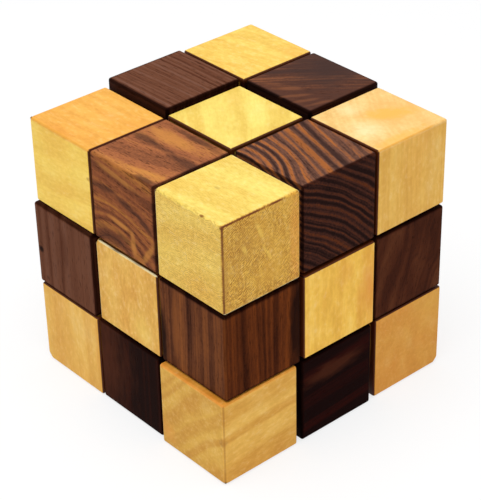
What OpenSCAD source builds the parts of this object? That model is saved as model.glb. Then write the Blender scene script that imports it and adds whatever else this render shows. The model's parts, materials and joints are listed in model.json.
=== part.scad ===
// Wooden snake puzzle: cubes in two woods on one elastic cord, folded up into a solid block.
// Origin: middle of the block's base. +Z is up, -Y and +X are the two sides seen first.

/* [Cubes] */
// Side of one wooden cube
cube_side = 19.6; // [16:0.1:26]
// Play left between one cube and the next
cube_gap = 0.4; // [0.3:0.05:1.5]
// Width of the flat that takes the sharpness off each cube edge
edge_ease = 0.5; // [0.2:0.05:1.2]

/* [Cord] */
// Diameter of the elastic cord
cord_d = 3; // [2:0.1:4]
// Room between the cord and the wall of its bore
bore_play = 0.8; // [0.4:0.05:1.2]
// Least room between a bend of the cord and the inside corner of its bore
bend_play = 0.1; // [0.05:0.05:0.3]
// Slit between two stretches of cord that turn against each other
cord_slit = 0.1; // [0.05:0.05:0.4]
// How far a bore runs past the bore that it meets in a corner cube
drill_overrun = 0.4; // [0.1:0.1:1]

/* [Cord ends] */
// How far the knot stands past the wall of the bore that stops it
knot_shoulder = 0.4; // [0.2:0.05:0.8]
// Length of the knot along the cord
knot_l = 3; // [2:0.1:3.4]
// Room round the knot in its pocket
knot_play = 0.3; // [0.1:0.05:0.5]
// Straight cord between the last bend and the knot
cord_tail = 0.4; // [0.2:0.05:1]
// Glue film round the plug
plug_play = 0.05; // [0.02:0.01:0.15]
// Depth of the plug's face below the face of the cube
plug_sink = 0.2; // [0:0.05:0.5]

/* [Loose fit] */
// How far one step in the list of stray cubes moves a cube
stray_step = 0.1; // [0:0.01:0.15]

/* [Hidden] */
$fn = 64;
light_wood = "#e3b65c";
dark_wood = "#5b3a2c";
cord_black = "#2b2622";
plug_wood = "#c9964a";

per_side = 3;
cube_count = pow(per_side, 3);
run_count = pow(per_side, 2);
turn_count = run_count - 1;

pitch = cube_side + cube_gap;
bore_d = cord_d + 2 * bore_play;
drill_past = bore_d / 2 + drill_overrun;
// Largest bend that still clears the inside corner where two bores meet, to a whole hundredth
bend_limit = (bore_d / 2 - bend_play - cord_d / 2 * sin(45)) / (1 - cos(45));
bend_r = floor(100 * bend_limit) / 100;
knot_d = bore_d + 2 * knot_shoulder;
pocket_d = knot_d + 2 * knot_play;
plug_d = pocket_d - 2 * plug_play;
// Distance from the middle of an end cube to the floor of its knot pocket
pocket_floor = bend_r + cord_tail;
// Radius of the two round ridges that make the knot
knot_ridge = knot_l / 4;

// Steps by which single cubes stand off the even grid, by their place in the block [x, y, z]
strays = [
    [[0, 0, 0], [0, -8, 0]],
    [[1, 0, 0], [-2, -6, 0]],
    [[2, 0, 0], [5, -14, 0]],
    [[2, 1, 0], [4, -4, 0]],
    [[2, 2, 0], [0, 8, 0]],
    [[1, 2, 0], [0, 14, 0]],
    [[0, 0, 1], [-5, -7, -2]],
    [[1, 0, 1], [0, -2, -2]],
    [[2, 0, 1], [2, -2, -2]],
    [[2, 1, 1], [3, 3, 0]],
    [[2, 2, 1], [0, 5, 0]],
    [[0, 0, 2], [0, -1, -2]],
    [[1, 0, 2], [0, -1, -1]],
    [[2, 0, 2], [0, 0, -2]],
    [[2, 1, 2], [0, 3, 2]],
    [[1, 1, 2], [-2, -1, 4]],
    [[0, 1, 2], [-3, 4, 14]],
    [[0, 2, 2], [0, 8, 11]],
    [[1, 2, 2], [0, 10, 10]],
    [[2, 2, 2], [0, 5, 2]]
];

// The snake's way through the block: the bottom and top layers run along x, the middle one along y
function run_of(n) = floor((n - 1) / per_side);
function step_of(n) = (n - 1) % per_side;
function there_and_back(row, step) = row % 2 == 0 ? step : per_side - 1 - step;
function cell(n) =
    let (layer = floor(run_of(n) / per_side), row = run_of(n) % per_side, step = step_of(n))
    layer % 2 == 0
        ? [there_and_back(row, step), row, layer]
        : [per_side - 1 - row, per_side - 1 - there_and_back(row, step), layer];
function spot(n) =
    let (c = cell(n))
    [(c.x - 1) * pitch, (c.y - 1) * pitch, c.z * pitch + cube_side / 2];
function stray(n) =
    let (found = [for (s = strays) if (s[0] == cell(n)) s[1]])
    len(found) > 0 ? found[0] * stray_step : [0, 0, 0];

// Direction of the cord as it comes into cube n and as it leaves it
function way_in(n) = n == 1 ? way_out(n) : (spot(n) - spot(n - 1)) / pitch;
function way_out(n) = n == cube_count ? [0, 1, 0] : (spot(n + 1) - spot(n)) / pitch;
function is_straight(n) = norm(way_in(n) - way_out(n)) < 0.5;

function two_digits(n) = n < 10 ? str("0", n) : str(n);
function is_light(n) = n % 2 == 1;
function cube_kind(n) = n == 1 || n == cube_count ? "end" : is_straight(n) ? "straight" : "corner";
function cube_name(n) = str(is_light(n) ? "light_" : "dark_", cube_kind(n), "_cube_", two_digits(n));
function run_name(b) = str("cord_run_", b);
function turn_name(t) = str("cord_turn_", t);
end_names = ["start", "tail"];
function knot_name(e) = str("cord_knot_", end_names[e]);
function plug_name(e) = str("plug_", end_names[e]);

// The two ends: end cube, way out of it, and distance from its middle to the plugged face
function end_cube(e) = e == 0 ? 1 : cube_count;
function end_way(e) = e == 0 ? -way_in(1) : way_out(cube_count);
function end_face(e) = cube_side / 2 + stray(end_cube(e)) * end_way(e);
function plug_l(e) = end_face(e) - plug_sink - pocket_floor - knot_l - cord_slit;

// Turns +Z to point along an axis direction
module along(way) {
    tilt = way.x != 0 ? [0, 90 * way.x, 0] : way.y != 0 ? [-90 * way.y, 0, 0] : [90 - 90 * way.z, 0, 0];
    rotate(tilt) children();
}

// Quarter bend of the cord, in by one direction and out by another, about the middle of a cube
module cord_bend(in, out) {
    side = cross(out, in);
    middle = (out - in) * bend_r;
    multmatrix([
        [-out.x, in.x, -side.x, middle.x],
        [-out.y, in.y, -side.y, middle.y],
        [-out.z, in.z, -side.z, middle.z],
        [0, 0, 0, 1]
    ])
        rotate_extrude(angle = 90)
            translate([bend_r, 0])
                circle(d = cord_d);
}

// Square bar with its four long edges taken off
module eased_bar() {
    reach = cube_side / 2;
    flat = reach - edge_ease;
    linear_extrude(height = cube_side, center = true)
        polygon([
            [reach, -flat], [reach, flat], [flat, reach], [-flat, reach],
            [-reach, flat], [-reach, -flat], [-flat, -reach], [flat, -reach]
        ]);
}

module eased_block() {
    intersection() {
        eased_bar();
        rotate([90, 0, 0]) eased_bar();
        rotate([0, 90, 0]) eased_bar();
    }
}

// Bore drilled from one face to just past the middle
module half_bore(way) {
    along(way)
        translate([0, 0, -drill_past])
            cylinder(d = bore_d, h = cube_side + drill_past);
}

module through_bore(way) {
    along(way) cylinder(d = bore_d, h = 2 * cube_side, center = true);
}

// Wider pocket for the knot and the plug, open at the plugged face
module knot_pocket(e) {
    along(end_way(e))
        translate([0, 0, pocket_floor])
            cylinder(d = pocket_d, h = cube_side);
}

module snake_cube(n) {
    color(is_light(n) ? light_wood : dark_wood)
        translate(spot(n))
            difference() {
                translate(stray(n)) eased_block();
                if (is_straight(n)) through_bore(way_out(n));
                if (!is_straight(n)) half_bore(-way_in(n));
                if (!is_straight(n)) half_bore(way_out(n));
                for (e = [0, 1]) {
                    if (n == end_cube(e)) knot_pocket(e);
                }
            }
}

// Cord of one straight run of cubes, with the bend at each end of it
module cord_run(b) {
    first = (b - 1) * per_side + 1;
    last = b * per_side;
    way = way_out(first);
    start = b == 1 ? -pocket_floor : bend_r;
    span = norm(spot(last) - spot(first));
    color(cord_black) {
        translate(spot(first) + start * way)
            along(way)
                cylinder(d = cord_d, h = span - bend_r - start);
        if (b > 1) translate(spot(first)) cord_bend(way_in(first), way);
        translate(spot(last)) cord_bend(way, way_out(last));
        if (b == run_count) {
            translate(spot(last) + bend_r * way_out(last))
                along(way_out(last))
                    cylinder(d = cord_d, h = cord_tail);
        }
    }
}

// Short stretch of cord from the last cube of one run into the first cube of the next
module cord_turn(t) {
    before = t * per_side;
    way = way_out(before);
    inset = bend_r + cord_slit;
    color(cord_black)
        translate(spot(before) + inset * way)
            along(way)
                cylinder(d = cord_d, h = pitch - 2 * inset);
}

// Knot: two round ridges on a short core
module cord_knot(e) {
    ridge_ring = knot_d / 2 - knot_ridge;
    color(cord_black)
        translate(spot(end_cube(e)) + pocket_floor * end_way(e))
            along(end_way(e)) {
                cylinder(r = ridge_ring, h = knot_l);
                for (lift = [knot_ridge, knot_l - knot_ridge]) {
                    translate([0, 0, lift])
                        rotate_extrude()
                            translate([ridge_ring, 0])
                                circle(r = knot_ridge);
                }
            }
}

module end_plug(e) {
    color(plug_wood)
        translate(spot(end_cube(e)) + (end_face(e) - plug_sink) * end_way(e))
            along(end_way(e))
                translate([0, 0, -plug_l(e)])
                    cylinder(d = plug_d, h = plug_l(e));
}

for (n = [1 : cube_count]) {
    snake_cube(n);
}
for (b = [1 : run_count]) {
    cord_run(b);
}
for (t = [1 : turn_count]) {
    cord_turn(t);
}
for (e = [0, 1]) {
    cord_knot(e);
}
for (e = [0, 1]) {
    end_plug(e);
}
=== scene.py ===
import json
import math

import bmesh
import bpy
from mathutils import Matrix, Quaternion, Vector


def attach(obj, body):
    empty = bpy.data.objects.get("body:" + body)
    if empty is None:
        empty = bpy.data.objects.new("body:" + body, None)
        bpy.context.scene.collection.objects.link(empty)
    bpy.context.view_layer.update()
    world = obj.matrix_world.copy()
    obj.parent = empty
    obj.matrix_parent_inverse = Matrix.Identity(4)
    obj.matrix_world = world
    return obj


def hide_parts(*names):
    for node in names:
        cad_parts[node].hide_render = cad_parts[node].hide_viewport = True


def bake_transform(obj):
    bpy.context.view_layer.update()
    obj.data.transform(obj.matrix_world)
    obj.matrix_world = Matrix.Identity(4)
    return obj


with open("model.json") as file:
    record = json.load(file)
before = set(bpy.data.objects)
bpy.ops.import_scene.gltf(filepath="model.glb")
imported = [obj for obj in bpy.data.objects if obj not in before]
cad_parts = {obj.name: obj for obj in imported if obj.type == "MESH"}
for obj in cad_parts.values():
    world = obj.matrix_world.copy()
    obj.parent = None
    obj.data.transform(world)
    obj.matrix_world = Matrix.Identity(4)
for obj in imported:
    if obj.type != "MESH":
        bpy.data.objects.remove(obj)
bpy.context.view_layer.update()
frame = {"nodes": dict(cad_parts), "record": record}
bodyOf = {node: body for body, nodes in frame["record"]["behaviour"]["bodies"].items() for node in nodes}

# the folded block, in millimetres as every size here; finished() scales each mesh to metres
block = {
    "perSide": 3,
    "side": 19.6,
    "gap": 0.4,
    "strayStep": 0.1,
    "strays": {  # steps by which single cubes stand off the even grid
        (0, 0, 0): (0, -8, 0), (1, 0, 0): (-2, -6, 0), (2, 0, 0): (5, -14, 0), (2, 1, 0): (4, -4, 0),
        (2, 2, 0): (0, 8, 0), (1, 2, 0): (0, 14, 0),
        (0, 0, 1): (-5, -7, -2), (1, 0, 1): (0, -2, -2), (2, 0, 1): (2, -2, -2), (2, 1, 1): (3, 3, 0),
        (2, 2, 1): (0, 5, 0),
        (0, 0, 2): (0, -1, -2), (1, 0, 2): (0, -1, -1), (2, 0, 2): (0, 0, -2), (2, 1, 2): (0, 3, 2),
        (1, 1, 2): (-2, -1, 4), (0, 1, 2): (-3, 4, 14), (0, 2, 2): (0, 8, 11), (1, 2, 2): (0, 10, 10),
        (2, 2, 2): (0, 5, 2),
    },
}
mm = 0.001
pitch = block["side"] + block["gap"]
half = block["side"] / 2
runCount = block["perSide"] ** 2
cubeCount = block["perSide"] ** 3


# the snake's way through the block: outer layers run along x, the middle one along y
def cellOf(n):
    run, step = divmod(n - 1, block["perSide"])
    layer, row = divmod(run, block["perSide"])
    last = block["perSide"] - 1
    there = step if row % 2 == 0 else last - step
    return (there, row, layer) if layer % 2 == 0 else (last - row, last - there, layer)


def spotOf(n):
    x, y, z = cellOf(n)
    return Vector(((x - 1) * pitch, (y - 1) * pitch, z * pitch + half))


def strayOf(n):
    return Vector(block["strays"].get(cellOf(n), (0, 0, 0))) * block["strayStep"]


def wayOut(n):
    return Vector((0, 1, 0)) if n == cubeCount else (spotOf(n + 1) - spotOf(n)) / pitch


def wayIn(n):
    return wayOut(n) if n == 1 else (spotOf(n) - spotOf(n - 1)) / pitch


def isLight(n):
    return n % 2 == 1


def nodeOf(n):
    return next(name for name in frame["nodes"] if name.endswith(f"_cube_{n:02d}"))


# one socket of a shader tree, with sums and products that add Math nodes
class Wire:
    def __init__(self, tree, socket=None):
        self.tree = tree
        self.socket = socket

    def node(self, kind, settings=None, sockets=None, out=0):
        item = self.tree.nodes.new(kind)
        for key, value in (settings or {}).items():
            if key == "stops":
                while len(item.color_ramp.elements) < len(value):
                    item.color_ramp.elements.new(0.5)
                for stop, (place, colour) in zip(item.color_ramp.elements, value):
                    stop.position = place
                    stop.color = colour
            else:
                setattr(item, key, value)
        for key, value in (sockets or {}).items():
            if isinstance(value, Wire):
                self.tree.links.new(value.socket, item.inputs[key])
            else:
                item.inputs[key].default_value = value
        return Wire(self.tree, item.outputs[out] if item.outputs else None)

    def sum(self, operation, first, second=0.0):
        return self.node("ShaderNodeMath", {"operation": operation}, {0: first, 1: second})

    def __add__(self, other):
        return self.sum("ADD", self, other)

    def __radd__(self, other):
        return self.sum("ADD", other, self)

    def __sub__(self, other):
        return self.sum("SUBTRACT", self, other)

    def __rsub__(self, other):
        return self.sum("SUBTRACT", other, self)

    def __mul__(self, other):
        return self.sum("MULTIPLY", self, other)

    def __rmul__(self, other):
        return self.sum("MULTIPLY", other, self)

    def __truediv__(self, other):
        return self.sum("DIVIDE", self, other)

    def __rtruediv__(self, other):
        return self.sum("DIVIDE", other, self)

    def __abs__(self):
        return self.sum("ABSOLUTE", self)


def blankMaterial(name):
    material = bpy.data.materials.new(name)
    material.use_nodes = True
    material.node_tree.nodes.clear()
    return material, Wire(material.node_tree)


# a screen colour, 0 to 255, as the shader's own straight values
def paint(red, green, blue):
    straight = [((c / 255 + 0.055) / 1.055) ** 2.4 if c > 10 else c / 3294.6 for c in (red, green, blue)]
    return (*straight, 1.0)


def ramp(value, low, high):
    return value.node("ShaderNodeMapRange", {"interpolation_type": "SMOOTHSTEP"},
                      {"Value": value, "From Min": low, "From Max": high})


def mixed(factor, first, second, blend="MIX"):
    return factor.node("ShaderNodeMix", {"data_type": "RGBA", "blend_type": blend},
                       {0: factor, 6: first, 7: second}, 2)


def noise(place, size, detail=2.0, rough=0.5, out=0):
    return place.node("ShaderNodeTexNoise", {},
                      {"Vector": place, "Scale": 1 / size, "Detail": detail, "Roughness": rough}, out)


def stretched(place, scale):
    return place.node("ShaderNodeVectorMath", {"operation": "MULTIPLY"}, {0: place, 1: scale})


# millimetres from the cube's middle, the same turned so that z follows the grain from the pith, and the rings
def grainOf(wire, middle, look):
    spot = wire.node("ShaderNodeTexCoord", out="Object")
    spot = wire.node("ShaderNodeVectorMath", {"operation": "SUBTRACT"}, {0: spot, 1: middle * mm})
    local = wire.node("ShaderNodeVectorMath", {"operation": "SCALE"}, {0: spot, "Scale": 1 / mm})
    turn = Vector(look["grain"]).rotation_difference(Vector((0, 0, 1)))
    pith = turn @ Vector(look["pith"])
    along = wire.node("ShaderNodeMapping", {"vector_type": "POINT"},
                      {"Vector": local, "Location": -pith, "Rotation": turn.to_euler()})
    sway = noise(stretched(along, (1, 1, 0.3)), look["swaySize"], 1.5, out=1)
    sway = wire.node("ShaderNodeVectorMath", {"operation": "SUBTRACT"}, {0: sway, 1: (0.5, 0.5, 0.5)})
    sway = wire.node("ShaderNodeVectorMath", {"operation": "SCALE"}, {0: sway, "Scale": look["sway"]})
    swayed = wire.node("ShaderNodeVectorMath", {"operation": "ADD"}, {0: along, 1: sway})
    outward = stretched(swayed, (1, 1, 0))
    reach = wire.node("ShaderNodeVectorMath", {"operation": "LENGTH"}, {0: outward}, "Value")
    for place, size, dip in look["swirls"]:  # rings bend round these places, as round a knot
        away = wire.node("ShaderNodeVectorMath", {"operation": "DISTANCE"}, {0: local, 1: place}, "Value")
        reach = reach - (1 - ramp(away, 0, size)) * dip
    return local, along, reach / look["ring"]


def partsOf(place):
    return [place.node("ShaderNodeSeparateXYZ", {}, {0: place}, axis) for axis in range(3)]


# nearness to the cube's edges: 1 on the edge, fading out between two depths
def edgeOf(local, start, end, ragged=0.0):
    size = local.node("ShaderNodeVectorMath", {"operation": "ABSOLUTE"}, {0: local})
    x, y, z = partsOf(size)
    most = size.sum("MAXIMUM", size.sum("MAXIMUM", x, y), z)
    least = size.sum("MINIMUM", size.sum("MINIMUM", x, y), z)
    inward = half - (x + y + z - most - least) + ragged
    return 1 - ramp(inward, start, end)


# 1 on one side of the cube, fading out over its eased edges between two depths
cubeSides = {
    "right": (0, 1), "left": (0, -1), "back": (1, 1), "front": (1, -1), "top": (2, 1), "under": (2, -1),
}
sideFade = {"deep": 0.8, "innerDeep": 0.32, "shallow": 0.2}


def onSide(local, side, deep=sideFade["deep"]):
    axis, sign = cubeSides[side]
    return ramp(partsOf(local)[axis] * sign, half - deep, half - sideFade["shallow"])


def onSides(local, sides):
    seen = [onSide(local, side, sideFade["innerDeep"]) for side in sides]
    return local.sum("MINIMUM", sum(seen[1:], seen[0]), 1.0)


# soft spots and streaks: where, half width, half length, tone, share, and a way where it isn't the grain's
markEdge = {"raggedSize": 1.3, "ragged": 1.1, "broad": 3, "core": 0.35, "broadCore": -0.2, "end": 1.25}


def marked(colour, local, along, look, tones):
    ragged = noise(stretched(along, (1, 1, 0.3)), markEdge["raggedSize"]) - 0.5
    for place, wide, long, tone, share, *way in look["marks"]:
        turn = Vector(way[0] if way else look["grain"]).rotation_difference(Vector((0, 0, 1)))
        away = local.node("ShaderNodeVectorMath", {"operation": "SUBTRACT"}, {0: local, 1: place})
        away = local.node("ShaderNodeMapping", {"vector_type": "POINT"},
                          {"Vector": away, "Rotation": turn.to_euler()})
        away = stretched(away, (1 / wide, 1 / wide, 1 / long))
        away = local.node("ShaderNodeVectorMath", {"operation": "LENGTH"}, {0: away}, "Value")
        away = away + ragged * markEdge["ragged"]
        core = markEdge["core" if wide < markEdge["broad"] else "broadCore"]  # broad marks have no even middle
        colour = mixed((1 - ramp(away, core, markEdge["end"])) * share, colour, paint(*tones[tone]))
    return colour


# handled edges: worn in places, with lines drawn along single edges in wear colours, some of them painted
# highlights and one a painted shadow line; sides inside the block are browner, with dark edges: painted shade
# for the gaps between the cubes
edgeWearShadeAndHighlights = {
    "wornSize": 4.0, "wornStart": 0.1, "wornEnd": 0.6, "innerShade": (0.8, 0.6, 0.4, 1),
    "gapShadeDepth": 0.45, "gapShadeFade": 0.6, "uneven": 0.8, "unevenSize": 7.0,
    "lineDeep": 0.45, "lineShallow": 0.2, "lineBreaks": 5.0,
}


def wornShadedAndHighlighted(colour, local, look, tones, gap):
    worn = ramp(noise(local, edgeWearShadeAndHighlights["wornSize"], 3.0), 0.32, 0.68)
    worn = edgeOf(local, edgeWearShadeAndHighlights["wornStart"], edgeWearShadeAndHighlights["wornEnd"]) * worn
    colour = mixed(worn * look["burnish"], colour, paint(*tones[look["worn"]]))
    # painted shade: inner sides are multiplied by a browner tint, so the gaps between cubes read darker
    colour = mixed(onSides(local, look["inner"]) * look["innerShade"], colour, edgeWearShadeAndHighlights["innerShade"], "MULTIPLY")
    uneven = (noise(local, edgeWearShadeAndHighlights["unevenSize"], 1.0) - 0.5) * edgeWearShadeAndHighlights["uneven"]
    # painted shade in the gaps: inner sides darken towards their edges with the gap tint, each side from its
    # own depth
    depths = {side: look["gapShade"].get(side, edgeWearShadeAndHighlights["gapShadeDepth"]) for side in look["inner"]}
    for depth in sorted(set(depths.values())):
        inner = onSides(local, [side for side in look["inner"] if depths[side] == depth])
        gapShade = edgeOf(local, depth, depth + edgeWearShadeAndHighlights["gapShadeFade"], uneven)
        colour = mixed(inner * gapShade * look["gapShadeShare"], colour, gap, "MULTIPLY")
    # lines along single edges: wear colours, and pale lines that are painted highlights where light catches the
    # edge
    for one, other, tone, share in look["edges"]:
        (axis, sign), (axisTwo, signTwo) = cubeSides[one], cubeSides[other]
        parts = partsOf(local)
        nearest = local.sum("MINIMUM", parts[axis] * sign, parts[axisTwo] * signTwo)
        line = ramp(nearest, half - edgeWearShadeAndHighlights["lineDeep"], half - edgeWearShadeAndHighlights["lineShallow"])
        line = line * ramp(noise(local, edgeWearShadeAndHighlights["lineBreaks"], 1.0), 0.2, 0.6)
        colour = mixed(line * share, colour, paint(*tones[tone]))
    return colour


# light wood: a tone for the cube and for single sides, then how strong each part of the figure is
lightTones = {
    "lemon": (244, 220, 112), "straw": (246, 210, 99), "honey": (238, 188, 86), "amber": (242, 180, 79),
    "tan": (224, 176, 71), "toast": (222, 158, 59), "gold": (255, 218, 97), "sunny": (255, 205, 82),
    "cream": (246, 208, 136), "blush": (228, 146, 54), "bark": (104, 50, 14), "pale": (255, 240, 186),
    "khaki": (190, 140, 56), "blond": (240, 178, 96), "wheat": (231, 180, 70),
}
lightFigure = {  # sizes in millimetres, tints that darken, and shares
    "mottleSize": 5.0, "blotchSize": 9.0, "fibreSize": 0.5, "gritSize": 0.9,
    "bandTint": (0.86, 0.74, 0.54, 1), "mottleTint": (0.84, 0.74, 0.58, 1), "blushTint": (0.98, 0.78, 0.56, 1),
    "fibreTint": (0.86, 0.8, 0.66, 1), "gritTint": (0.8, 0.72, 0.54, 1), "fleckTint": (0.4, 0.28, 0.1, 1),
    # the gap tint is painted shade for the gaps between cubes
    "gapShadeTint": (0.1, 0.038, 0.02, 1), "paleMottle": 0.27, "paleGrit": 0.4, "goldFleck": 0.6,
    "fleckSway": 3.6, "fleckSwaySize": 2.4, "fleckLines": 0.34, "fleckSpecks": 1.9, "fleckSpeckSize": 0.45,
    "bump": 0.25, "bumpDepth": 0.00006, "roughness": 0.42, "fibreRoughness": 0.12, "specular": 0.2,
}
lightBase = {
    "tone": "honey", "sides": {}, "seed": 0.0, "grain": (0, 0, 1), "pith": (30, 20, 0), "ring": 2.6,
    "sway": 4.0, "swaySize": 14.0, "bands": 0.5, "mottle": 0.45, "blush": 0.4, "fibre": 0.3, "grit": 0.45,
    "flecks": {}, "burnish": 0.3, "worn": "toast", "gapShadeShare": 1.0, "gapShade": {}, "innerShade": 0.55, "edges": [],
    "marks": [], "swirls": [],
}
# gap depths per cube set how far the painted shade of the gaps reaches into single inner sides
lightLooks = {
    1: {"pith": (-40, 10, 0), "ring": 5.0, "bands": 0.7, "blush": 0.2, "grit": 0.25,
        "marks": [((9.6, -9.8, 0), 1.3, 12, "toast", 0.7)]},
    3: {"tone": "tan", "sides": {"right": "honey", "top": "amber"}, "grain": (0, 1, 0.07), "pith": (42, 0, -46),
        "ring": 4.0, "bands": 0.9, "sway": 5.0, "blush": 0.15, "grit": 0.3, "gapShade": {"top": -1.0},
        "edges": [("front", "right", "bark", 0.4), ("front", "top", "blush", 0.6)],
        "marks": [((-8, -9.8, -6), 3, 3, "blush", 0.5), ((9.5, -9.8, 0.5), 1.2, 1.2, "bark", 0.25)]},
    9: {"tone": "toast", "grain": (1, 0.05, 0.1), "bands": 0.2, "mottle": 0.3, "fibre": 0.35, "grit": 0.15,
        "gapShade": {"front": 1.2},
        "marks": [((9.8, -7, -7), 10, 10, "blush", 0.3), ((9.8, 6, 6), 9, 9, "tan", 0.35)]},
    11: {"tone": "sunny", "mottle": 0.6, "grit": 0.3, "gapShade": {"front": 1.4, "top": 1.1},
         "marks": [((9.8, 8.5, -1), 4, 9, "blush", 0.8), ((9.8, 2, 6), 3, 4, "blush", 0.35)]},
    # 13's pale edge lines are painted highlights
    13: {"mottle": 0.5, "edges": [("front", "top", "pale", 0.75), ("front", "left", "pale", 0.8)],
         "marks": [((4, -9.8, -6), 4, 4, "straw", 0.5)]},
    19: {"tone": "gold", "sides": {"top": "amber"}, "grain": (1, 0, 0.1), "pith": (0, 30, 30), "mottle": 0.35,
         "grit": 0.3, "edges": [("front", "top", "toast", 0.8)],
         "marks": [((9.4, -9.8, 3), 0.6, 0.9, "khaki", 0.7)]},
    21: {"tone": "straw", "sides": {"top": "lemon", "right": "wheat"}, "grain": (1, 0.1, 0.1),
         "pith": (0, -40, -12), "ring": 4.0, "mottle": 0.2, "fibre": 0.2,
         "flecks": {"top": ((0.1, 1, 0), 0.5, 0.12), "front": ((0.05, 0, 1), 0.4, 0.42),
                    "right": ((0, -0.57, 0.82), 0.42, 0.95)},
         # 21's pale edge lines are painted highlights, its bark lines edge wear
         "edges": [("top", "right", "bark", 1.0), ("front", "right", "bark", 0.9),
                   ("front", "left", "pale", 0.8), ("right", "under", "pale", 0.8),
                   ("top", "back", "pale", 0.7)],
         "marks": [((-1.6, -1, 9.8), 0.5, 0.9, "bark", 0.3), ((4, -9.7, 9.7), 0.35, 0.6, "bark", 0.9),
                   ((9.8, -9.8, 9.6), 0.7, 0.7, "bark", 0.9), ((9.8, -5, 3), 6, 6, "khaki", 0.5),
                   ((9.8, 8.4, 0), 1.6, 11, "blush", 0.4, (0, 0, 1)),
                   ((9.8, -9.3, -2), 0.7, 8, "khaki", 0.6, (0, 0, 1)),
                   ((9.8, -0.5, 5.1), 0.5, 2.4, "gold", 0.4, (0, 0.39, -0.92)),
                   ((9.8, 1.3, -0.3), 0.4, 2.4, "gold", 0.35, (0, 0.47, -0.88)),
                   ((9.8, -4.4, 2.6), 0.5, 1.2, "gold", 0.35, (0, 0.5, -0.87)),
                   # pale streak on the front-left edge: a painted highlight
                   ((-9.7, -9.8, -5.5), 0.3, 1.2, "pale", 1.0, (0, 0, 1))]},
    23: {"tone": "lemon", "grain": (0.75, -0.6, 0), "pith": (10, 20, -40), "bands": 0.75, "grit": 0.25,
         "gapShade": {"front": 0.9, "right": 0.9}},
    25: {"tone": "straw", "grain": (1, 0.2, 0), "bands": 0.3, "gapShade": {"front": 0.9, "right": 0.9},
         "marks": [((8, 7, 9.8), 5, 5, "amber", 0.4), ((9.8, -9.8, 8.2), 1.5, 1.3, "bark", 1.0, (0, 0, 1))]},
    27: {"sides": {"top": "cream"}, "pith": (20, 40, 0), "ring": 2.0, "blush": 0.2, "grit": 0.25,
         "gapShade": {"front": 0.9}, "edges": [("top", "right", "toast", 0.7)],
         "marks": [((1, 3.5, 9.8), 10, 10, "blond", 0.8), ((0.1, 3, 9.8), 2.6, 6, "amber", 0.9, (0.5, 0.86, 0)),
                   ((2, -5.5, 9.8), 4.5, 5, "pale", 0.6), ((-6.5, -2, 9.8), 3, 6, "pale", 0.4),
                   ((8.8, -3, 9.8), 1.6, 8, "amber", 0.7, (0, 1, 0))]},
}


def lightWood(name, middle, look):
    material, wire = blankMaterial(name)
    local, along, rings = grainOf(wire, middle, look)
    seeded = wire.node("ShaderNodeVectorMath", {"operation": "ADD"}, {0: along, 1: (look["seed"],) * 3})
    bands = wire.node("ShaderNodeTexNoise", {"noise_dimensions": "1D"},
                      {"W": rings + look["seed"], "Scale": 1.0, "Detail": 2.0, "Roughness": 0.55})
    mottle = noise(stretched(seeded, (1, 1, 0.55)), lightFigure["mottleSize"], 4.0, 0.6)
    blotch = noise(stretched(seeded, (1, 1, 0.5)), lightFigure["blotchSize"])
    fibre = noise(stretched(seeded, (1, 1, 0.12)), lightFigure["fibreSize"], 2.0, 0.6)
    grit = noise(stretched(seeded, (1, 1, 0.6)), lightFigure["gritSize"], 3.0, 0.65)
    pale = paint(*lightTones["pale"])
    colour = paint(*lightTones[look["tone"]])
    for side, tone in look["sides"].items():
        colour = mixed(onSide(local, side), colour, paint(*lightTones[tone]))
    colour = mixed(ramp(mottle, 0.5, 0.25) * look["mottle"] * lightFigure["paleMottle"], colour, pale)
    colour = mixed(ramp(bands, 0.35, 0.68) * look["bands"], colour, lightFigure["bandTint"], "MULTIPLY")
    colour = mixed(ramp(mottle, 0.4, 0.66) * look["mottle"], colour, lightFigure["mottleTint"], "MULTIPLY")
    colour = mixed(ramp(blotch, 0.45, 0.7) * look["blush"], colour, lightFigure["blushTint"], "MULTIPLY")
    colour = mixed(ramp(fibre, 0.35, 0.7) * look["fibre"], colour, lightFigure["fibreTint"], "MULTIPLY")
    colour = mixed(ramp(grit, 0.42, 0.68) * look["grit"], colour, lightFigure["gritTint"], "MULTIPLY")
    colour = mixed(ramp(grit, 0.48, 0.3) * look["grit"] * lightFigure["paleGrit"], colour, pale)
    for side, (across, size, share) in look["flecks"].items():
        lines = wire.node("ShaderNodeVectorMath", {"operation": "DOT_PRODUCT"}, {0: local, 1: across}, "Value")
        sway = noise(local, lightFigure["fleckSwaySize"]) * lightFigure["fleckSway"]
        lines = wire.sum("SINE", (lines / size + sway) * (2 * math.pi)) * lightFigure["fleckLines"]
        lines = lines + noise(local, lightFigure["fleckSpeckSize"]) * lightFigure["fleckSpecks"]
        face = onSide(local, side) * (ramp(blotch, 0.3, 0.6) * 0.6 + 0.4) * share
        colour = mixed(ramp(lines, 0.8, 1.3) * face, colour, lightFigure["fleckTint"], "MULTIPLY")
        gilt = ramp(lines, 0.8, 0.4) * face * lightFigure["goldFleck"]
        colour = mixed(gilt, colour, paint(*lightTones["gold"]))
    colour = marked(colour, local, along, look, lightTones)
    colour = wornShadedAndHighlighted(colour, local, look, lightTones, lightFigure["gapShadeTint"])
    bump = wire.node("ShaderNodeBump", {}, {
        "Strength": lightFigure["bump"], "Distance": lightFigure["bumpDepth"], "Height": fibre})
    shader = wire.node("ShaderNodeBsdfPrincipled", {}, {
        "Base Color": colour, "Roughness": lightFigure["roughness"] + fibre * lightFigure["fibreRoughness"],
        "Normal": bump, "Specular IOR Level": lightFigure["specular"]})
    wire.node("ShaderNodeOutputMaterial", {}, {"Surface": shader})
    return material


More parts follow.
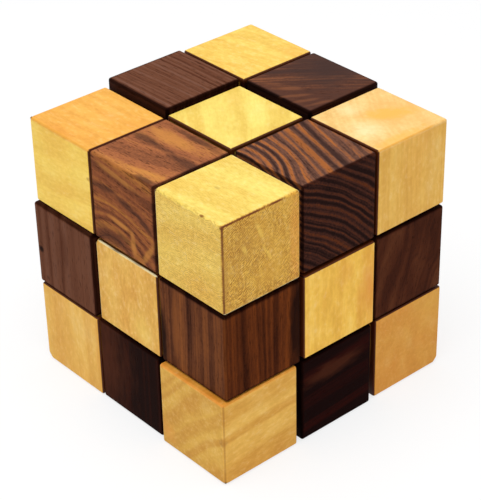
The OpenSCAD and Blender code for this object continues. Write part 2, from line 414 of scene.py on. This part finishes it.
# dark wood: tones from the late rings to the early ones, then how strong each part of the figure is
darkTones = {
    "ebony": (20, 6, 4), "soot": (42, 16, 9), "umber": (74, 36, 20), "chestnut": (98, 55, 32),
    "cocoa": (106, 65, 46), "rust": (138, 80, 40), "slate": (62, 40, 34), "plum": (90, 54, 40),
    "mauve": (162, 98, 62), "olive": (204, 138, 68), "cedar": (152, 94, 60), "ash": (114, 76, 60),
    "smoke": (66, 46, 41), "copper": (166, 98, 50),
}
darkFigure = {  # sizes in millimetres, the painted shade tint in the gaps, and shares
    "fibreSize": 0.4, "patchySize": 6.0, "gritSize": 0.5, "poreSize": 0.3, "bands": 3, "lines": 0.5,
    "fibre": 0.6, "gapShadeTint": (0.14, 0.09, 0.08, 1), "bump": 0.3, "bumpDepth": 0.00006, "fibreBump": 0.5,
    "roughness": 0.45, "fibreRoughness": 0.14, "poreRoughness": 0.1, "specular": 0.012,
}
darkBase = {
    "tones": ("soot", "umber", "chestnut"), "sides": {}, "seed": 0.0, "grain": (0, 0, 1), "pith": (35, 25, 0),
    "ring": 1.8, "sway": 3.0, "swaySize": 12.0, "lines": 0.1, "endLines": 0.0, "contrast": 0.8, "patchy": 0.3,
    "pores": 0.35, "grit": 0.0, "endDrop": 0.25, "endSoft": 0.3, "burnish": 0.6, "worn": "soot", "gapShadeShare": 0.7,
    "gapShade": {}, "innerShade": 0.0, "edges": [], "marks": [], "swirls": [],
}
shadedSide = (0.3, 0.25, 0.25)
darkLooks = {
    2: {"tones": ("ebony", "ebony", "soot"), "contrast": 0.4, "sides": {"front": (1.45, 0.96, 0.55)},
        "marks": [((-8.5, -9.8, 1), 10, 20, "umber", 1.0)]},
    4: {"tones": ("ebony", "ebony", "soot"), "grain": (0, 1, 0.05), "pith": (20, 0, -40), "ring": 5.0,
        "sides": {"right": (1.0, 0.35, 0.25)},
        "marks": [((9.8, -1, 4.5), 2, 9, "umber", 0.7)]},
    10: {"grain": (0.2, 0.2, 1), "ring": 3.5, "sway": 7.0, "swaySize": 5.0, "contrast": 0.4, "patchy": 2.4},
    12: {"tones": ("soot", "chestnut", "rust"), "ring": 2.0, "contrast": 0.6, "patchy": 0.9, "grit": 0.35,
         "sides": {"right": (0.81, 0.6, 0.36)},
         # the ebony line on the front-top edge is painted shadow from cube 21 above
         "edges": [("front", "right", "rust", 0.3), ("front", "top", "ebony", 0.9)],
         "marks": [((-9.6, -9.8, -4), 1.8, 9, "ebony", 0.9), ((9.8, 9, 0), 2.8, 14, "ebony", 0.85),
                   ((-5, -9.8, 1), 1.2, 9, "rust", 0.6)]},
    18: {"tones": ("umber", "cocoa", "ash"), "contrast": 0.35, "patchy": 1.0,
         # the dark tint on the right side is painted shade, for the side seen in the gap to cube 13
         "sides": {"right": (0.4, 0.3, 0.3)},
         "marks": [((-8.5, -9.8, -1.3), 0.9, 0.9, "ebony", 0.95), ((0, -9.8, 2), 1.4, 5, "umber", 0.4)]},
    20: {"tones": ("plum", "mauve", "olive"), "grain": (0.98, 0, -0.1), "pith": (0, 20, -45), "ring": 3.0,
         "sway": 2.6, "swaySize": 7.0, "contrast": 0.5, "pores": 0.5, "grit": 0.8,
         "sides": {"front": (0.74, 0.68, 0.66)}, "swirls": [((-3, -9.8, -11), 14, 9)],
         "marks": [((-2, 5, 9.8), 2.0, 9, "olive", 0.6), ((-6.5, 1.5, 9.8), 1.3, 5, "slate", 0.7),
                   ((0, 1.2, 9.8), 1.0, 5, "slate", 0.45), ((7, 0.8, 9.8), 1.6, 5, "slate", 0.6),
                   ((2, 8.4, 9.8), 1.1, 12, "slate", 0.7),
                   ((5, -7.2, 9.8), 0.8, 5.5, "olive", 0.6, (1, 0.2, 0)),
                   ((7, -9, 9.8), 0.8, 4, "slate", 0.7, (1, 0.12, 0)),
                   ((-1.6, -9.8, 7.4), 0.8, 7, "olive", 0.45, (1, 0, -0.12)),
                   ((-6, -9.8, 3.1), 1.0, 5, "slate", 0.65, (1, 0, 0.1)),
                   ((1.5, -9.8, 2), 1.0, 5, "slate", 0.65, (1, 0, -0.22)),
                   ((7, -9.8, -0.2), 0.9, 3.5, "slate", 0.65, (1, 0, -0.6)),
                   ((-5, -9.8, -7.5), 2.5, 6, "slate", 0.45),
                   ((0, -9.8, -6), 0.8, 3, "slate", 0.5, (1, 0, -0.3)),
                   ((-1, -9.8, -3.1), 0.7, 4, "olive", 0.6, (1, 0, -0.1)),
                   ((2.9, -9.8, -6.2), 0.9, 3.4, "olive", 0.5, (0.1, 0, -1)),
                   ((7.6, -9.8, -6.3), 0.8, 4, "olive", 0.52, (0.56, 0, 0.83))]},
    22: {"tones": ("slate", "ash", "copper"), "grain": (0.95, -0.28, 0), "pith": (0, -32, -44), "ring": 1.35,
         "sway": 1.4, "swaySize": 9.0, "lines": 0.42, "endLines": 0.4, "contrast": 1.35, "pores": 0.4,
         "grit": 0.4, "endDrop": 0.15, "endSoft": 0.15, "sides": {"right": (0.32, 0.245, 0.26)},
         "swirls": [((-5, -15, 9.8), 16, 5)],
         "marks": [((0, 2.5, 9.8), 4, 14, "slate", 0.35)]},
    24: {"tones": ("umber", "cocoa", "ash"), "grain": (1, 0.02, 0), "ring": 1.1, "lines": 0.3,
         "sides": {"front": shadedSide, "left": shadedSide, "right": shadedSide}},
    26: {"tones": ("smoke", "plum", "cedar"), "grain": (0.62, 0.78, 0), "pith": (10, -6, -22), "ring": 1.0,
         "contrast": 0.5, "grit": 0.5, "sides": {"front": shadedSide, "right": shadedSide},
         "marks": [((-2, 6, 9.8), 13, 14, "smoke", 1.0), ((-3, 7, 9.8), 9, 11, "smoke", 0.8),
                   ((-5, -7, 9.8), 0.9, 3, "cedar", 0.2, (0.8, 0.6, 0)),
                   ((-1, -6, 9.8), 1.0, 4, "cedar", 0.35, (0.7, 0.7, 0)),
                   ((2.5, -7, 9.8), 0.7, 3.5, "cedar", 0.3, (0.55, 0.83, 0)),
                   ((5.5, -7, 9.8), 0.7, 3.5, "cedar", 0.25, (0.42, 0.9, 0)),
                   ((8.2, -6, 9.8), 0.7, 3.5, "cedar", 0.25, (0.3, 0.95, 0))]},
}


def darkWood(name, middle, look):
    material, wire = blankMaterial(name)
    local, along, rings = grainOf(wire, middle, look)
    seeded = wire.node("ShaderNodeVectorMath", {"operation": "ADD"}, {0: along, 1: (look["seed"],) * 3})
    bands = wire.node("ShaderNodeTexNoise", {"noise_dimensions": "1D"},
                      {"W": rings + look["seed"], "Scale": 1.0, "Detail": 3.0, "Roughness": 0.6})
    lines = wire.sum("SINE", rings * (2 * math.pi)) * darkFigure["lines"]
    fibre = noise(stretched(seeded, (1, 1, 0.08)), darkFigure["fibreSize"], 3.0, 0.65) - 0.5
    patchy = noise(stretched(seeded, (1, 1, 0.4)), darkFigure["patchySize"]) - 0.5
    grit = noise(seeded, darkFigure["gritSize"], 2.0, 0.6) - 0.5
    endAxis = max(range(3), key=lambda axis: abs(look["grain"][axis]))
    ends = ramp(abs(partsOf(local)[endAxis]), half - sideFade["deep"], half - sideFade["shallow"])
    even = ends * (look["endLines"] - look["lines"]) + look["lines"]
    stripe = (bands - 0.5) * ((1 - even) * darkFigure["bands"]) + lines * even
    stripe = stripe + fibre * darkFigure["fibre"] + patchy * look["patchy"] + grit * look["grit"]
    stripe = stripe * (1 - ends * look["endSoft"]) * look["contrast"] + 0.5 - ends * look["endDrop"]
    stops = [(place, paint(*darkTones[tone])) for place, tone in zip((0.1, 0.5, 0.9), look["tones"])]
    colour = wire.node("ShaderNodeValToRGB", {"stops": stops}, {"Fac": stripe})
    pores = ramp(noise(stretched(seeded, (1, 1, 0.14)), darkFigure["poreSize"], 1.0), 0.58, 0.68)
    colour = mixed(pores * look["pores"], colour, paint(*darkTones["ebony"]))
    # side tints: the wood's own tone on some sides, painted shade on sides seen in the gaps (shadedSide, and
    # 18's right side)
    for side, tint in look["sides"].items():
        colour = mixed(onSide(local, side), colour, (*tint, 1.0), "MULTIPLY")
    colour = marked(colour, local, along, look, darkTones)
    colour = wornShadedAndHighlighted(colour, local, look, darkTones, darkFigure["gapShadeTint"])
    bump = wire.node("ShaderNodeBump", {}, {
        "Strength": darkFigure["bump"], "Distance": darkFigure["bumpDepth"],
        "Height": 1 - pores + fibre * darkFigure["fibreBump"]})
    rough = fibre * darkFigure["fibreRoughness"] + pores * darkFigure["poreRoughness"]
    shader = wire.node("ShaderNodeBsdfPrincipled", {}, {
        "Base Color": colour, "Roughness": darkFigure["roughness"] + rough, "Normal": bump,
        "Specular IOR Level": darkFigure["specular"]})
    wire.node("ShaderNodeOutputMaterial", {}, {"Surface": shader})
    return material


# round rings of edges, each given by its middle, the way through it, a radius and a side that never twists
def ringAt(mesh, middle, way, radius, side, count):
    across = way.cross(side)
    turn = Matrix((side, across, way)).transposed().to_4x4()
    made = bmesh.ops.create_circle(mesh, segments=count, radius=radius,
                                   matrix=Matrix.Translation(middle) @ turn)
    verts = set(made["verts"])
    return [edge for edge in mesh.edges if edge.verts[0] in verts and edge.verts[1] in verts]


def sideOf(way, other):
    return way.cross(other).normalized() if way.cross(other).length > 0.5 else Vector((way.y, way.z, way.x))


# middles and ways of the quarter bend in cube n
def bendOf(n, radius, steps):
    first, last = wayIn(n), wayOut(n)
    hub = spotOf(n) + (last - first) * radius
    found = []
    for step in range(steps + 1):
        angle = math.pi / 2 * step / steps
        out = first * math.sin(angle) - last * math.cos(angle)
        found.append((hub + out * radius, first * math.cos(angle) + last * math.sin(angle)))
    return found


def finished(name, mesh, material, body, replaced):
    bmesh.ops.recalc_face_normals(mesh, faces=mesh.faces)
    bmesh.ops.scale(mesh, vec=(mm, mm, mm), verts=mesh.verts)
    data = bpy.data.meshes.new(name)
    mesh.to_mesh(data)
    mesh.free()
    data.shade_smooth()
    piece = bpy.data.objects.new(name, data)
    bpy.context.collection.objects.link(piece)
    data.materials.append(material)
    if body:
        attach(piece, body)
    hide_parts(replaced)
    return piece


# the cord's own sizes in millimetres
cord = {
    "across": 3.0, "borePlay": 0.8, "bend": 3.88, "slit": 0.1, "tail": 0.4, "sides": 24, "strands": 8,
    "bendSteps": 8, "runSteps": 20, "turnSteps": 24, "knotShoulder": 0.4, "knotLength": 3.0, "knotSteps": 12,
    "knotPlay": 0.3,
}
bore = cord["across"] / 2 + cord["borePlay"]
pocket = bore + cord["knotShoulder"] + cord["knotPlay"]
pocketFloor = cord["bend"] + cord["tail"]

# one wooden cube: a sawn block with eased edges, knocked corners and the bore for the cord
cubeShape = {
    "ease": 0.5, "easeSteps": 3, "boreSides": 32, "mouthEase": 0.25, "bendSteps": 8, "drillTip": 0.2,
    "seedStep": 7.3,
    "knocks": {1: [((-1, -1, -1), 1.3)], 9: [((1, 1, -1), 1.3)], 13: [((-1, -1, 1), 1.2)],
               3: [((1, -1, -1), 0.8)], 21: [((-1, -1, 1), 0.8)], 19: [((-1, -1, 1), 0.6)]},
}


def endWay(n):
    return -wayIn(1) if n == 1 else wayOut(cubeCount)


def snakeCube(n):
    middle = spotOf(n) + strayOf(n)
    mesh = bmesh.new()
    bmesh.ops.create_cube(mesh, size=block["side"], matrix=Matrix.Translation(middle))
    for corner, size in cubeShape["knocks"].get(n, []):
        vert = min(mesh.verts, key=lambda v: (v.co - middle - Vector(corner) * half).length)
        bmesh.ops.bevel(mesh, geom=[vert], offset=size, affect="VERTICES",
                        segments=1, profile=0.5, material=-1)
    bmesh.ops.bevel(mesh, geom=mesh.edges[:], offset=cubeShape["ease"], affect="EDGES",
                    segments=cubeShape["easeSteps"], profile=0.5, material=-1)
    first, last = -wayIn(n), wayOut(n)
    side = sideOf(first, last)
    count = cubeShape["boreSides"]
    throats = []
    for way in (first, last):
        wide = pocket if n in (1, cubeCount) and way == endWay(n) else bore
        reach = half + strayOf(n).dot(way)
        facing = [face for face in mesh.faces if face.normal.dot(way) > 0.99]
        flat = max(facing, key=lambda face: face.calc_area())
        border = list(flat.edges)
        bmesh.ops.delete(mesh, geom=[flat], context="FACES_ONLY")
        mouth = ringAt(mesh, spotOf(n) + way * reach, way, wide + cubeShape["mouthEase"], side, count)
        bmesh.ops.triangle_fill(mesh, edges=border + mouth, use_beauty=True)
        throat = ringAt(mesh, spotOf(n) + way * (reach - cubeShape["mouthEase"]), way, wide, side, count)
        bmesh.ops.bridge_loops(mesh, edges=mouth + throat)
        for edge in mouth:
            edge.smooth = False
        if wide > bore:  # the knot's pocket narrows to the bore in a shallow cone left by the drill
            ledge = ringAt(mesh, spotOf(n) + way * pocketFloor, way, wide, side, count)
            tip = pocketFloor - cubeShape["drillTip"]
            neck = ringAt(mesh, spotOf(n) + way * tip, way, bore, side, count)
            bmesh.ops.bridge_loops(mesh, edges=throat + ledge)
            bmesh.ops.bridge_loops(mesh, edges=ledge + neck)
            for edge in ledge + neck:
                edge.smooth = False
            throat = neck
        throats.append(throat)
    if first.dot(last) < -0.5:
        bmesh.ops.bridge_loops(mesh, edges=throats[0] + throats[1])
    else:
        rings = [ringAt(mesh, spot, way, bore, side, count)
                 for spot, way in bendOf(n, cord["bend"], cubeShape["bendSteps"])]
        rings = [throats[0]] + rings + [throats[1]]
        for before, after in zip(rings, rings[1:]):
            bmesh.ops.bridge_loops(mesh, edges=before + after)
    inner = [name for name, (axis, sign) in cubeSides.items() if 0 <= cellOf(n)[axis] + sign < block["perSide"]]
    own = {"seed": cubeShape["seedStep"] * n, "inner": inner}
    if isLight(n):
        wood = lightWood(f"lightWood{n:02d}", middle, {**lightBase, **own, **lightLooks.get(n, {})})
    else:
        wood = darkWood(f"darkWood{n:02d}", middle, {**darkBase, **own, **darkLooks.get(n, {})})
    node = nodeOf(n)
    piece = finished(f"cube{n:02d}", mesh, wood, bodyOf[node], node)
    piece.modifiers.new("evenFaces", "WEIGHTED_NORMAL").keep_sharp = True
    return piece


for n in range(1, cubeCount + 1):
    snakeCube(n)
print("cubes made:", cubeCount)

# braided sleeve of the elastic cord: strands cross over and under, read from the tube's own UV map
braid = {
    "pitch": 2.2, "threads": 5, "thread": (46, 42, 40), "shade": (12, 11, 11), "paintedSheen": (92, 86, 80),
    "paintedSheenShare": 0.35, "bump": 0.8, "bumpDepth": 0.0002, "threadBump": 0.15,
    "roughness": 0.78, "threadRoughness": 0.12, "fuzz": 0.3,
}


def braidedSleeve():
    material, wire = blankMaterial("braidedSleeve")
    place = wire.node("ShaderNodeTexCoord", out="UV")
    around, length = (wire.node("ShaderNodeSeparateXYZ", {}, {0: place}, axis) for axis in range(2))
    turns = around * (cord["strands"] / 2)
    climb = length / braid["pitch"]
    right, left = turns + climb, turns - climb
    over = wire.sum("MODULO", abs(wire.sum("FLOOR", right) + wire.sum("FLOOR", left)), 2.0)
    crown = [abs(wire.sum("SINE", strand * math.pi)) for strand in (right, left)]
    height = crown[0] * over + crown[1] * (1 - over)
    strand = right * over + left * (1 - over)
    fine = wire.sum("SINE", strand * (2 * math.pi * braid["threads"])) * 0.5 + 0.5
    # thread colour on the crowns, near-black in the valleys between strands: painted shade
    colour = mixed(ramp(height, 0.15, 0.9), paint(*braid["shade"]), paint(*braid["thread"]))
    # a painted sheen on the crowns of the strands
    paintedShine = ramp(height, 0.7, 1.0) * fine * braid["paintedSheenShare"]
    colour = mixed(paintedShine, colour, paint(*braid["paintedSheen"]))
    bump = wire.node("ShaderNodeBump", {}, {
        "Strength": braid["bump"], "Distance": braid["bumpDepth"],
        "Height": height + fine * braid["threadBump"]})
    shader = wire.node("ShaderNodeBsdfPrincipled", {}, {
        "Base Color": colour, "Roughness": braid["roughness"] - fine * braid["threadRoughness"], "Normal": bump,
        "Sheen Weight": braid["fuzz"]})
    wire.node("ShaderNodeOutputMaterial", {}, {"Surface": shader})
    return material


sleeve = braidedSleeve()


# tube through middles, ways and radii, with its own UV map: turns round it, then millimetres along it
def tubeThrough(mesh, path, side):
    count = cord["sides"]
    uvLayer = mesh.loops.layers.uv.verify()
    rings, place, run = [], {}, 0.0
    for step, (spot, way, radius) in enumerate(path):
        run += (spot - path[step - 1][0]).length if step else 0.0
        rings.append(ringAt(mesh, spot, way, radius, side(way), count))
        across = way.cross(side(way))
        for vert in {v for edge in rings[-1] for v in edge.verts}:
            out = vert.co - spot
            place[vert] = (math.atan2(out.dot(across), out.dot(side(way))) / (2 * math.pi) % 1.0, run)
    for before, after in zip(rings, rings[1:]):
        for face in bmesh.ops.bridge_loops(mesh, edges=before + after)["faces"]:
            spread = [place[loop.vert][0] for loop in face.loops]
            for loop, around in zip(face.loops, spread):
                wrap = 1.0 if max(spread) - min(spread) > 0.5 and around < 0.5 else 0.0
                loop[uvLayer].uv = (around + wrap, place[loop.vert][1])
    for ring in (rings[0], rings[-1]):
        bmesh.ops.edgeloop_fill(mesh, edges=ring)


def straightPath(start, end, steps):
    way = (end - start).normalized()
    return [(start.lerp(end, step / steps), way) for step in range(steps + 1)]


def sideFor(way, normal):
    flat = normal - way * normal.dot(way)
    return flat.normalized() if flat.length > 0.3 else way.orthogonal().normalized()


# cord through one run of three cubes, with the bend at each end of it
def cordRun(b):
    last = block["perSide"] * b
    first = last - block["perSide"] + 1
    way = wayOut(first)
    start = spotOf(first) + way * (-pocketFloor if b == 1 else cord["bend"])
    path = bendOf(first, cord["bend"], cord["bendSteps"])[:-1] if b > 1 else []
    path += straightPath(start, spotOf(last) - way * cord["bend"], cord["runSteps"])[:-1]
    path += bendOf(last, cord["bend"], cord["bendSteps"])
    if b == runCount:
        path.append((spotOf(last) + wayOut(last) * pocketFloor, wayOut(last)))
    mesh = bmesh.new()
    # the tube's side is square to the plane of the run's last bend
    turns = [w for w in (-wayIn(first), wayOut(last)) if abs(w.dot(way)) < 0.5]
    normal = way.cross(turns[-1]).normalized()
    tubeThrough(mesh, [(*stop, cord["across"] / 2) for stop in path], lambda w: sideFor(w, normal))
    node = f"cord_run_{b}"
    return finished(f"cordRun{b}", mesh, sleeve, bodyOf[node], node)


# short stretch of cord at a turn
def cordTurn(t):
    before = block["perSide"] * t
    way = wayOut(before)
    inset = cord["bend"] + cord["slit"]
    start, end = spotOf(before) + way * inset, spotOf(before + 1) - way * inset
    mesh = bmesh.new()
    path = [(*stop, cord["across"] / 2) for stop in straightPath(start, end, cord["turnSteps"])]
    tubeThrough(mesh, path, lambda w: sideOf(w, w))
    node = f"cord_turn_{t}"
    piece = finished(f"cordTurn{t}", mesh, sleeve, None, node)
    start * mm
    end * mm
    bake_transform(piece)
    return piece


# stopper knot in an end cube: two turns of cord pulled tight
def cordKnot(name, n):
    way = endWay(n)
    ridge = cord["knotLength"] / 4
    core = bore + cord["knotShoulder"] - ridge
    foot = spotOf(n) + way * pocketFloor
    steps = cord["knotSteps"]
    path = []
    for step in range(2 * steps + 1):
        angle = math.pi * step / steps
        lift = cord["knotLength"]
        if step < 2 * steps:
            lift = ridge * (step // steps * 2 + 1 - math.cos(angle % math.pi))
        path.append((foot + way * lift, way, core + ridge * abs(math.sin(angle))))
    mesh = bmesh.new()
    tubeThrough(mesh, path, lambda w: sideOf(w, w))
    node = f"cord_knot_{name}"
    return finished(f"cordKnot{name.title()}", mesh, sleeve, bodyOf[node], node)


for b in range(1, runCount + 1):
    cordRun(b)
for t in range(1, runCount):
    cordTurn(t)
for name, n in (("start", 1), ("tail", cubeCount)):
    cordKnot(name, n)
print("cord made:", runCount, "runs,", runCount - 1, "turns, 2 knots")

# glued dowel plug over each knot, end grain outwards
plug = {
    "play": 0.05, "sink": 0.2, "ease": 0.3, "easeMiddle": 0.3, "sides": 48, "pithAside": 2.2, "seedStep": 3.1,
    "look": {**lightBase, "tone": "toast", "ring": 0.7, "bands": 1.0, "sway": 0.5, "mottle": 0.6,
             "burnish": 0.0, "inner": ["under"]},
}


def endPlug(name, n):
    way = endWay(n)
    reach = half + strayOf(n).dot(way) - plug["sink"]
    length = reach - pocketFloor - cord["knotLength"] - cord["slit"]
    radius = pocket - plug["play"]
    side = sideOf(way, way)
    mesh = bmesh.new()
    foot = spotOf(n) + way * (reach - length)
    eased = plug["easeMiddle"] * plug["ease"]
    profile = ((0.0, radius), (length - plug["ease"], radius), (length - eased, radius - eased),
               (length, radius - plug["ease"]))
    rings = [ringAt(mesh, foot + way * lift, way, wide, side, plug["sides"]) for lift, wide in profile]
    for before, after in zip(rings, rings[1:]):
        bmesh.ops.bridge_loops(mesh, edges=before + after)
    for ring in (rings[0], rings[-1]):
        bmesh.ops.edgeloop_fill(mesh, edges=ring)
    look = {**plug["look"], "grain": tuple(way), "pith": tuple(side * plug["pithAside"]),
            "seed": plug["seedStep"] * n}
    wood = lightWood(f"plugEndGrain{name.title()}", spotOf(n) + way * reach, look)
    node = f"plug_{name}"
    piece = finished(f"plug{name.title()}", mesh, wood, bodyOf[node], node)
    piece.modifiers.new("evenFaces", "WEIGHTED_NORMAL").keep_sharp = True
    return piece


for name, n in (("start", 1), ("tail", cubeCount)):
    endPlug(name, n)
print("plugs made")

# pale floor, soft box above and a weak even surround
studio = {
    "floorSize": 4.0, "floorDrop": 0.0001, "floorColour": (0.94, 0.94, 0.95, 1.0), "floorLift": 0.72,
    "surround": 0.5, "keyPlace": (0.08, -0.17, 0.87), "keyAim": (0, 0, 0.03), "keySize": 0.8, "keyPower": 6.7,
}


def rayShown(wire):
    seen = [wire.node("ShaderNodeLightPath", out=kind)
            for kind in ("Is Camera Ray", "Is Glossy Ray", "Is Transmission Ray")]
    return wire.sum("MINIMUM", seen[0] + seen[1] + seen[2], 1.0)


def paleFloor():
    material, wire = blankMaterial("paleFloor")
    matt = wire.node("ShaderNodeBsdfDiffuse", {}, {"Color": studio["floorColour"]})
    white = wire.node("ShaderNodeEmission", {}, {"Strength": 1.0})
    share = rayShown(wire) * studio["floorLift"]
    lifted = wire.node("ShaderNodeMixShader", {}, {0: share, 1: matt, 2: white})
    wire.node("ShaderNodeOutputMaterial", {}, {"Surface": lifted})
    return material


mesh = bmesh.new()
bmesh.ops.create_grid(mesh, x_segments=1, y_segments=1, size=studio["floorSize"] / 2,
                      matrix=Matrix.Translation((0, 0, -studio["floorDrop"])))
floorData = bpy.data.meshes.new("floor")
mesh.to_mesh(floorData)
mesh.free()
floor = bpy.data.objects.new("floor", floorData)
bpy.context.collection.objects.link(floor)
floorData.materials.append(paleFloor())

world = bpy.data.worlds.new("surround")
bpy.context.scene.world = world
world.use_nodes = True
world.node_tree.nodes.clear()
wire = Wire(world.node_tree)
even = wire.node("ShaderNodeBackground", {}, {"Color": (1, 1, 1, 1), "Strength": studio["surround"]})
white = wire.node("ShaderNodeBackground", {}, {"Color": (1, 1, 1, 1), "Strength": 1.0})
sky = wire.node("ShaderNodeMixShader", {}, {0: rayShown(wire), 1: even, 2: white})
wire.node("ShaderNodeOutputWorld", {}, {"Surface": sky})

keyData = bpy.data.lights.new("softBox", "AREA")
keyData.shape = "SQUARE"
keyData.size = studio["keySize"]
keyData.energy = studio["keyPower"]
key = bpy.data.objects.new("softBox", keyData)
key.location = studio["keyPlace"]
key.rotation_euler = (Vector(studio["keyAim"]) - key.location).to_track_quat("-Z", "Y").to_euler()
bpy.context.collection.objects.link(key)

# camera at the photograph's angle, fitted to the cubes' corners
eye = {
    "azimuth": 49.24, "elevation": 32.15, "roll": -1.33, "aim": (0.78, -0.38, 28.6), "away": 371.0,
    "lens": 126.7,
}
turn, lift = math.radians(eye["azimuth"]), math.radians(eye["elevation"])
gaze = Vector((-math.sin(turn) * math.cos(lift), math.cos(turn) * math.cos(lift), -math.sin(lift)))
cameraData = bpy.data.cameras.new("camera")
cameraData.lens = eye["lens"]
camera = bpy.data.objects.new("camera", cameraData)
camera.location = (Vector(eye["aim"]) - gaze * eye["away"]) * mm
roll = Quaternion((0, 0, 1), math.radians(eye["roll"]))
camera.rotation_euler = (gaze.to_track_quat("-Z", "Y") @ roll).to_euler()
bpy.context.collection.objects.link(camera)
bpy.context.scene.camera = camera
bpy.context.scene.view_settings.view_transform = "Standard"
print("stage, light and camera set")
